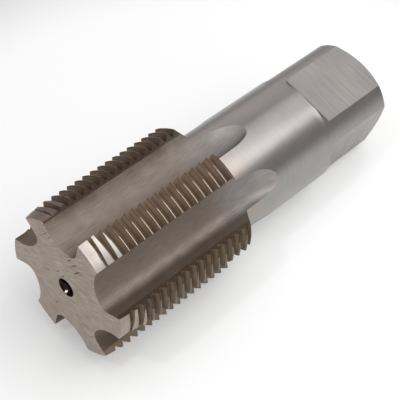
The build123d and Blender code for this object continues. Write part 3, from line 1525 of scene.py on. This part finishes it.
@dataclass(frozen=True)
class SteelFinish:
    """A steel surface with the marks of the tool that made it.

    Attributes:
        name: The material's name.
        color: The steel's colour between its marks.
        deep: Its colour in them and in its darker patches.
        roughness: How dull it is.
        rough_spread: How far its dullness varies.
        grain: Which way its marks run.
        width: Width of a mark, in millimetres.
        stretch: How many times longer than wide a mark is.
        depth: Depth of the marks, in millimetres.
        marks: How strongly the marks show.
        patches: How strongly its patches show.
        patch_size: Size of these, in millimetres.
        metallic: 1 for bare steel, less where an oxide film covers it.
        painted_side_shade: Painted shade: what the colour is multiplied by on all sides but the lit one.
        lit_side: Angle of the lit side about the axis, in degrees.
    """

    name: str
    color: Tint
    deep: Tint
    roughness: float = 0.3
    rough_spread: float = 0.1
    grain: Grain = Grain.AROUND
    width: float = 0.3
    stretch: float = 60.0
    depth: float = 0.004
    marks: float = 1.0
    patches: float = 0.8
    patch_size: float = 6.0
    metallic: float = 1.0
    painted_side_shade: Tint | None = None
    lit_side: float = -60.0

    def material(self) -> bpy.types.Material:
        """The finish as a material."""
        made = bpy.data.materials.new(self.name)
        made.use_nodes = True
        graph = Graph(made.node_tree)
        axes = graph.axes()
        marks = graph.noise(graph.grain(self.grain, axes, self.width, self.stretch), 1.0, 3.0)
        patches = graph.noise(axes.standing, 1.0 / self.patch_size)
        part = ((marks - 0.5) * self.marks + (patches - 0.5) * self.patches + 0.5).within(0.0, 1.0)
        color, rough = self.cover(graph, axes, graph.tint(self.color, self.deep, part))
        # Painted shade: every side but the lit one is darkened.
        if self.painted_side_shade:
            color = graph.tint(color, self.painted_side_shade, graph.off_side(axes, self.lit_side), "MULTIPLY")
        shader = made.node_tree.nodes["Principled BSDF"]
        shader.inputs["Metallic"].default_value = self.metallic
        graph.link(color, shader.inputs["Base Color"])
        rough = rough + (part - 0.5) * self.rough_spread
        rough.within(0.08, 0.9).feed(shader.inputs["Roughness"])
        graph.link(graph.bump(marks, self.depth), shader.inputs["Normal"])
        return made

    def cover(
        self, graph: Graph, axes: Axes, color: bpy.types.NodeSocket
    ) -> tuple[bpy.types.NodeSocket, Field]:
        """What lies on the steel.

        Args:
            graph: The material's nodes.
            axes: The tap's coordinates.
            color: The bare steel's colour.

        Returns:
            The covered colour, and the roughness.
        """
        return color, Field(graph.tree, self.roughness)


@dataclass(frozen=True)
class FluteFinish(SteelFinish):
    """A milled flute: browned between the lands, darker along them from stain and painted shade,
    with painted shade on its rake faces and a few dark pits.

    Attributes:
        brown: What the steel's colour is multiplied by between the lands.
        brown_from: Height where the brown starts to fade.
        brown_to: Height where it has gone.
        stain_and_shade: Colour of the darkening along the lands, partly stain and partly painted shade.
        stain_and_shade_share: How strong it is.
        stain_and_shade_from: Radius where it starts.
        stain_and_shade_to: Radius where it is strongest.
        stain_and_shade_to: Radius where it is strongest.
        pit: Colour of the pits.
        pit_share: Share of places that have a pit.
        rake: What the colour is multiplied by on the rake faces, as painted shade.
        painted_rake_shade: How strong this painted shade is.
        rake_from: Length along the outline where the painted shade starts to fade.
        rake_to: Length where it has gone.
        smooth: How much less dull the steel is where the cutter leaves it.
        smooth_from: Height where it starts to be so.
        smooth_to: Height where it is so altogether.
    """

    brown: Tint = (0.95, 0.85, 0.765)
    brown_from: float = 32.0
    brown_to: float = 47.0
    stain_and_shade: Tint = (0.16, 0.10, 0.06)
    stain_and_shade_share: float = 0.6
    stain_and_shade_from: float = 14.6
    stain_and_shade_to: float = 17.8
    pit: Tint = (0.03, 0.022, 0.016)
    pit_share: float = 0.16
    rake: Tint = (0.4, 0.37, 0.33)
    painted_rake_shade: float = 0.0
    rake_from: float = 5.0
    rake_to: float = 9.5
    smooth: float = 0.15
    smooth_from: float = 47.0
    smooth_to: float = 54.0

    def cover(
        self, graph: Graph, axes: Axes, color: bpy.types.NodeSocket
    ) -> tuple[bpy.types.NodeSocket, Field]:
        """Lays the brown, the painted rake shade, the stain and shade along the lands and the pits over the
        steel; see SteelFinish.
        """
        clouds = graph.noise(axes.standing, 0.28, 3.0)
        browned = graph.ramp(axes.height, self.brown_to, self.brown_from)
        color = graph.tint(color, self.brown, browned, "MULTIPLY")
        # Painted shade on the rake faces.
        outline = graph.attribute(OUTLINE).math("FLOORED_MODULO", FLUTE_APART)
        rake = graph.ramp(outline + (clouds - 0.5) * 3.0, self.rake_to, self.rake_from)
        color = graph.tint(color, self.rake, rake * self.painted_rake_shade, "MULTIPLY")
        # Darker along the lands: partly stain, partly painted shade.
        near_land = graph.ramp(axes.radius, self.stain_and_shade_from, self.stain_and_shade_to)
        stain_and_shade = (near_land * graph.ramp(clouds, 0.38, 0.66) * self.stain_and_shade_share).within(0.0, 1.0)
        color = graph.tint(color, self.stain_and_shade, stain_and_shade)
        pits = graph.specks(axes.standing, 2.4, 0.2, self.pit_share)
        pits = pits.most(graph.specks(axes.standing, 0.8, 0.1, 0.2) * 0.6)
        color = graph.tint(color, self.pit, pits * 0.75)
        left = graph.ramp(axes.height, self.smooth_from, self.smooth_to)
        return color, stain_and_shade * 0.12 + self.roughness - left * self.smooth


@dataclass(frozen=True)
class ThreadFinish(SteelFinish):
    """The brown oxide of the thread, rusty in places, darkest in the roots from oxide and painted shade,
    with painted shade toward the heel.

    Attributes:
        root: Colour of the roots, their oxide and painted shade.
        root_oxide_and_shade_share: How strong it is.
        rust: Colour of the rusty places.
        rust_share: How strong it is.
        edge_rust: Colour of the rust on some cutting edges.
        edge_share: How strong it is.
        heel: What the colour is multiplied by toward the heel, as painted shade.
        thread: The thread's sizes.
    """

    root: Tint = (0.028, 0.018, 0.011)
    root_oxide_and_shade_share: float = 0.6
    rust: Tint = (0.20, 0.115, 0.055)
    rust_share: float = 0.6
    edge_rust: Tint = (0.32, 0.20, 0.11)
    edge_share: float = 0.5
    heel: Tint = (0.62, 0.58, 0.52)
    thread: ThreadForm = ThreadForm()

    def cover(
        self, graph: Graph, axes: Axes, color: bpy.types.NodeSocket
    ) -> tuple[bpy.types.NodeSocket, Field]:
        """Darkens the roots with oxide and painted shade, adds rust and paints shade toward the heel; see
        SteelFinish.
        """
        clouds = graph.noise(axes.standing, 0.45, 3.0)
        color = graph.tint(color, self.rust, graph.ramp(clouds, 0.5, 0.72) * self.rust_share)
        # Darker roots: partly oxide in them, partly painted shade.
        middle, root_r = self.thread.crest_r - self.thread.depth / 2, self.thread.root_r
        low = graph.ramp(axes.radius, middle, root_r)
        color = graph.tint(color, self.root, low * self.root_oxide_and_shade_share)
        edge = graph.ramp(graph.attribute(LAND), 0.14, 0.02) * graph.ramp(clouds, 0.42, 0.55)
        color = graph.tint(color, self.edge_rust, edge * self.edge_share)
        # Painted shade toward the heel.
        heel = graph.ramp(graph.attribute(LAND), 0.45, 1.0)
        color = graph.tint(color, self.heel, heel, "MULTIPLY")
        return color, clouds * 0.1 + self.roughness


@dataclass(frozen=True)
class CrestFinish(SteelFinish):
    """The crests, painted lighter towards the heel as a highlight and darker brown behind the cutting edge
    as shade.

    Attributes:
        brown: Colour of the crest behind the cutting edge, where it is painted darker as shade.
        painted_lit_from: Share of the land's width where the painted highlight starts.
        painted_lit_to: Share where it is at full strength.
    """

    brown: Tint = (0.12, 0.09, 0.065)
    painted_lit_from: float = 0.32
    painted_lit_to: float = 0.5

    def cover(
        self, graph: Graph, axes: Axes, color: bpy.types.NodeSocket
    ) -> tuple[bpy.types.NodeSocket, Field]:
        """Paints the crest darker behind the cutting edge and lighter towards the heel; see SteelFinish."""
        uneven = graph.noise(axes.standing, 0.6) - 0.5
        # Painted highlight toward the heel, painted shade behind the cutting edge.
        bare = graph.ramp(graph.attribute(LAND) + uneven * 0.7, self.painted_lit_from, self.painted_lit_to)
        return graph.tint(self.brown, color, bare), bare * -0.12 + self.roughness


@dataclass(frozen=True)
class ShankFinish(SteelFinish):
    """The ground shank, tanned beside the thread and with painted shade in the crease at the square's inner
    end.

    Attributes:
        tan: Colour of the steel beside the thread.
        tan_from: Height where the tan starts to fade.
        tan_to: Height where it ends.
        crease_shade: Colour of the painted shade.
        crease_shade_place: Middle of the shaded stretch of the square's inner end, as x and y.
        pit: Colour of the pits.
        shank: The shank's sizes.
    """

    tan: Tint = (0.36, 0.29, 0.23)
    tan_from: float = 44.5
    tan_to: float = 52.0
    crease_shade: Tint = (0.06, 0.05, 0.04)
    crease_shade_place: tuple[float, float] = (5.7, -12.8)
    pit: Tint = (0.08, 0.06, 0.05)
    shank: ShankForm = ShankForm()

    def cover(
        self, graph: Graph, axes: Axes, color: bpy.types.NodeSocket
    ) -> tuple[bpy.types.NodeSocket, Field]:
        """Lays the tan and the painted crease shade over the steel; see SteelFinish."""
        clouds = graph.noise(axes.standing, 0.3, 3.0)
        tan = graph.ramp(axes.height, self.tan_to, self.tan_from) * graph.ramp(clouds, 0.3, 0.6)
        color = graph.tint(color, self.tan, tan * 0.6)
        # Painted shade along the crease at the square's inner end.
        x, y, _ = graph.parts(axes.standing)
        across, up = x - self.crease_shade_place[0], y - self.crease_shade_place[1]
        near = graph.ramp((across * across + up * up).math("SQRT"), 2.4, 1.2)
        line = graph.ramp((axes.height - self.shank.square_start).math("ABSOLUTE"), 0.3, 0.08)
        color = graph.tint(color, self.crease_shade, near * line * 0.8)
        pits = graph.specks(axes.standing, 2.1, 0.14, 0.12)
        return graph.tint(color, self.pit, pits * 0.5), clouds * 0.04 + self.roughness


@dataclass(frozen=True)
class Nick:
    """A small dark mark on the front face, in the standing tap's millimetres.

    Attributes:
        x: Its middle's first coordinate.
        y: Its middle's second coordinate.
        length: Half its length.
        width: Half its width.
    """

    x: float
    y: float
    length: float
    width: float


@dataclass(frozen=True)
class FrontFinish(SteelFinish):
    """The ground front face with its nicks.

    Attributes:
        nicks: The single dark marks.
        nick: Their colour.
        nick_share: How strong it is.
        nick_way: Direction in which they lie, in degrees.
    """

    nicks: tuple[Nick, ...] = ()
    nick: Tint = (0.05, 0.04, 0.035)
    nick_share: float = 0.7
    nick_way: float = -43.0

    def cover(
        self, graph: Graph, axes: Axes, color: bpy.types.NodeSocket
    ) -> tuple[bpy.types.NodeSocket, Field]:
        """Adds the nicks; see SteelFinish."""
        x, y, _ = graph.parts(axes.standing)
        uneven = graph.noise(axes.standing, 2.2) - 0.5
        cos, sin = math.cos(math.radians(self.nick_way)), math.sin(math.radians(self.nick_way))
        along, aside = x * cos + y * sin, y * cos - x * sin
        dark = Field(graph.tree, 0.0)
        for nick in self.nicks:
            far = (along - (nick.x * cos + nick.y * sin)) / nick.length
            off = (aside - (nick.y * cos - nick.x * sin) + uneven * 0.25) / nick.width
            dark = dark.most(graph.ramp(far * far + off * off, 1.5, 0.2))
        return graph.tint(color, self.nick, dark * self.nick_share), dark * 0.2 + self.roughness


@dataclass(frozen=True)
class HoleFinish(SteelFinish):
    """A nearly black centre hole with a painted highlight on its wall.

    Attributes:
        highlight_spot: Middle of the painted highlight in the standing tap, in millimetres.
        reach: Its radius, in millimetres.
        bright: Its colour.
    """

    highlight_spot: Point = (-0.69, 2.07, 0.46)
    reach: float = 0.52
    bright: Tint = (0.5, 0.43, 0.37)

    def cover(
        self, graph: Graph, axes: Axes, color: bpy.types.NodeSocket
    ) -> tuple[bpy.types.NodeSocket, Field]:
        """Paints the highlight, a little duller than the wall; see SteelFinish."""
        # Painted highlight: a lighter colour at one place on the wall.
        x, y, z = (part - at for part, at in zip(graph.parts(axes.standing), self.highlight_spot))
        far = (x * x + y * y + z * z).math("SQRT")
        painted_highlight = graph.ramp(far, self.reach, self.reach * 0.25)
        return graph.tint(color, self.bright, painted_highlight), painted_highlight * 0.12 + self.roughness


@dataclass(frozen=True)
class Softbox:
    """A square soft light that faces the tap.

    Attributes:
        name: The light's name.
        azimuth: Its direction from +X, in degrees.
        elevation: Its height over the horizon, in degrees.
        distance: Its distance, in metres.
        size: Its side, in metres.
        brightness: Brightness of its face, where 1 is white.
        color: Its colour.
    """

    name: str
    azimuth: float
    elevation: float
    distance: float
    size: float
    brightness: float
    color: Tint = (1.0, 1.0, 1.0)

    def build(self) -> None:
        """Hangs the light."""
        data = bpy.data.lights.new(self.name, "AREA")
        data.shape = "SQUARE"
        data.size = self.size
        data.energy = self.brightness * math.pi * self.size**2
        data.color = self.color
        lamp = bpy.data.objects.new(self.name, data)
        turn, rise = math.radians(self.azimuth), math.radians(self.elevation)
        flat = math.cos(rise)
        toward = Vector((math.cos(turn) * flat, math.sin(turn) * flat, math.sin(rise)))
        lamp.location = toward * self.distance
        lamp.rotation_mode = "QUATERNION"
        lamp.rotation_quaternion = toward.to_track_quat("Z", "Y")
        bpy.context.scene.collection.objects.link(lamp)


@dataclass(frozen=True)
class Viewpoint:
    """The camera, where the photograph was taken from.

    Attributes:
        place: Its place, in metres.
        right: Direction of the picture's right side.
        ahead: Direction that it looks in.
        lens: Focal length on a 36 mm wide sensor, in millimetres.
    """

    place: Point = (-0.14086, -0.14707, 0.22393)
    right: Point = (0.69550, -0.71620, -0.05769)
    ahead: Point = (0.46560, 0.51038, -0.72300)
    lens: float = 107.006

    def build(self) -> None:
        """Sets the camera up and makes it the scene's."""
        data = bpy.data.cameras.new("camera")
        data.sensor_width = 36.0
        data.lens = self.lens
        data.clip_start = 0.01
        camera = bpy.data.objects.new("camera", data)
        back = -Vector(self.ahead).normalized()
        up = back.cross(Vector(self.right)).normalized()
        turn = Matrix((up.cross(back), up, back)).transposed().to_4x4()
        camera.matrix_world = Matrix.Translation(self.place) @ turn
        bpy.context.scene.collection.objects.link(camera)
        bpy.context.scene.camera = camera


@dataclass
class Studio:
    """A pale floor under soft light, with a painted glow near the tap.

    Attributes:
        floor_reach: Half the floor's side, in metres.
        floor_color: The floor's colour near the tap.
        painted_floor_glow: Strength of the floor's painted glow there, as of a light table.
        far_color: The floor's darker colour away from the tap, where the painted glow has faded.
        painted_glow_r: Distance where the painted glow starts to fade, in metres.
        painted_glow_far_r: Distance where it has gone.
        around: Colour of the light from all round.
        around_strength: How strong this is.
        softboxes: The lights.
    """

    floor_reach: float = 3.0
    floor_color: Tint = (0.72, 0.75, 0.73)
    painted_floor_glow: float = 0.25
    far_color: Tint = (0.6, 0.62, 0.61)
    painted_glow_r: float = 0.09
    painted_glow_far_r: float = 0.15
    around: Tint = (1.0, 0.9, 0.97)
    around_strength: float = 0.38
    softboxes: tuple[Softbox, ...] = (
        Softbox("key_light", -52.0, 56.0, 0.60, 0.50, 2.3),
        Softbox("side_light", 8.0, 47.0, 0.70, 0.30, 1.0),
        Softbox("back_light", 45.0, 24.0, 0.80, 0.50, 0.55, (1.0, 0.98, 0.94)),
        Softbox("top_light", 120.0, 86.0, 0.90, 0.50, 1.15),
        Softbox("fill_light", -100.0, 48.0, 0.60, 0.50, 0.8),
        Softbox("low_light", -105.0, 12.0, 0.60, 0.20, 2.8),
        Softbox("spark_light", 177.0, 61.0, 0.70, 0.06, 36.0),
    )

    def build(self) -> None:
        """Makes the floor, the lights and the camera."""
        self._floor()
        world = bpy.data.worlds.new("studio")
        world.use_nodes = True
        background = world.node_tree.nodes["Background"]
        background.inputs["Color"].default_value = (*self.around, 1.0)
        background.inputs["Strength"].default_value = self.around_strength
        bpy.context.scene.world = world
        for softbox in self.softboxes:
            softbox.build()
        Viewpoint().build()
        bpy.context.scene.view_settings.view_transform = "Standard"

    def _floor(self) -> None:
        """Lays the floor."""
        reach = self.floor_reach
        corners = [(-reach, -reach, 0), (reach, -reach, 0), (reach, reach, 0), (-reach, reach, 0)]
        data = bpy.data.meshes.new("floor")
        data.from_pydata(corners, [], [(0, 1, 2, 3)])
        floor = bpy.data.objects.new("floor", data)
        bpy.context.scene.collection.objects.link(floor)
        data.materials.append(self._floor_material())

    def _floor_material(self) -> bpy.types.Material:
        """The floor's material, with a painted glow near the tap and a darker colour away from it."""
        made = bpy.data.materials.new("pale_floor_painted_glow")
        made.use_nodes = True
        shader = made.node_tree.nodes["Principled BSDF"]
        graph = Graph(made.node_tree)
        x, y, _ = graph.parts(graph.add("ShaderNodeTexCoord").outputs["Object"])
        # Painted glow near the tap, fading to a darker floor away from it.
        near = graph.ramp((x * x + y * y).math("SQRT"), self.painted_glow_far_r, self.painted_glow_r)
        color = graph.tint(self.far_color, self.floor_color, near)
        graph.link(color, shader.inputs["Base Color"])
        shader.inputs["Roughness"].default_value = 0.9
        shader.inputs["Specular IOR Level"].default_value = 0.0
        shader.inputs["Emission Color"].default_value = (1.0, 1.0, 1.0, 1.0)
        (near * self.painted_floor_glow).feed(shader.inputs["Emission Strength"])
        return made


def end_face_finish(name: str, nicks: tuple[Nick, ...] = ()) -> FrontFinish:
    """The finish of a face that is ground in bows."""
    return FrontFinish(
        name, (0.47, 0.4, 0.341), (0.284, 0.238, 0.196), 0.5, 0.1, Grain.FACED,
        width=0.18, stretch=22.0, depth=0.01, marks=2.8, patches=0.8, patch_size=3.0, nicks=nicks,
    )


def body_finishes(form: TapForm) -> dict[Region, SteelFinish]:
    """The finishes of the bar."""
    nicks = (
        Nick(3.7, -9.6, 1.7, 0.17),
        Nick(4.5, -8.0, 1.5, 0.17),
        Nick(2.3, -10.4, 1.1, 0.15),
        Nick(-2.2, -3.8, 0.8, 0.14),
        Nick(-5.9, -1.7, 0.4, 0.15),
        Nick(-0.6, -3.2, 0.8, 0.13),
        Nick(-4.1, 7.9, 0.35, 0.2),
        Nick(-5.3, -13.4, 0.7, 0.13),
        Nick(-4.0, -12.9, 0.6, 0.13),
        Nick(7.6, 10.6, 0.9, 0.12),
    )
    return {
        Region.FRONT: end_face_finish("ground_face", nicks),
        Region.FLUTE: FluteFinish(
            "milled_flute", (0.414, 0.393, 0.372), (0.23, 0.216, 0.203), 0.66, 0.1, Grain.OUTLINE,
            width=0.11, stretch=36.0, depth=0.004, marks=1.4, patches=0.5, patch_size=4.0,
            # painted shade on all sides of the flutes but the lit one
            painted_side_shade=(0.82, 0.82, 0.80), lit_side=-30.0, painted_rake_shade=0.7,
        ),
        Region.CONE: SteelFinish(
            "turned_cone", (0.11, 0.085, 0.065), (0.05, 0.038, 0.028), 0.42, width=0.25,
        ),
        Region.SHANK: ShankFinish(
            "ground_shank", (0.355, 0.34, 0.325), (0.275, 0.262, 0.252), 0.28, 0.06,
            width=0.12, depth=0.0006, marks=1.2, patches=0.5, shank=form.shank,
        ),
        Region.SQUARE: SteelFinish(
            "milled_square", (0.34, 0.325, 0.305), (0.25, 0.238, 0.225), 0.38, 0.14,
            width=0.2, depth=0.008, marks=2.8, patches=0.5,
        ),
        Region.CENTRE: HoleFinish(
            "drilled_centre", (0.025, 0.019, 0.015), (0.015, 0.012, 0.01), 0.2, 0.0, marks=0.0,
            depth=0.0, patches=0.5,
        ),
    }


def tooth_finishes(form: TapForm) -> dict[ToothRegion, SteelFinish]:
    """The finishes of the teeth."""
    return {
        ToothRegion.FLANK: ThreadFinish(
            "thread_oxide_and_painted_shade", (0.31, 0.232, 0.158), (0.175, 0.125, 0.08), 0.5, 0.12,
            width=0.35, depth=0.006, marks=0.9, patches=1.2, patch_size=3.0, metallic=0.45,
            # painted shade on all lands but the lit one
            painted_side_shade=(0.68, 0.66, 0.62), thread=form.thread,
        ),
        ToothRegion.LEAD: SteelFinish(
            "ground_lead", (0.38, 0.353, 0.322), (0.27, 0.25, 0.227), 0.34, 0.08,
            width=0.2, depth=0.003, marks=1.0, patches=1.4, patch_size=2.5,
            # painted shade, warmer, on all lands but the lit one
            painted_side_shade=(1.0, 0.9, 0.8),
        ),
        ToothRegion.CREST: CrestFinish(
            "crest_painted_light", (0.33, 0.28, 0.23), (0.22, 0.178, 0.14), 0.36, 0.1, width=0.25,
            # painted shade on all lands but the lit one
            painted_side_shade=(0.6, 0.57, 0.53),
        ),
        ToothRegion.SIDE: FluteFinish(
            "tooth_side", (0.23, 0.21, 0.186), (0.135, 0.116, 0.096), 0.4, 0.12, Grain.ALONG,
            width=0.3, depth=0.005, smooth=0.0,
        ),
        ToothRegion.END: end_face_finish("tooth_end"),
    }


def main() -> None:
    """Builds the tap's pieces in order, lays them down and sets up the studio."""
    logging.basicConfig(level=logging.INFO, format="%(name)s: %(message)s")
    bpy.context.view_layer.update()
    form = TapForm()
    axes = TapAxes()
    body = TapBody(form).build()
    TapBody.dress(body, body_finishes(form))
    teeth = LandTeeth(form).build(tooth_finishes(form))
    pieces = [body, teeth]
    axes.settle(Resting(form).lay(pieces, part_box(NODE)))
    for piece in pieces:
        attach(piece, BODY)
        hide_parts(NODE)
        mesh = piece.data
        log.info("%s: %d vertices, %d faces", piece.name, len(mesh.vertices), len(mesh.polygons))
    Studio().build()


if __name__ == "__main__":
    main()
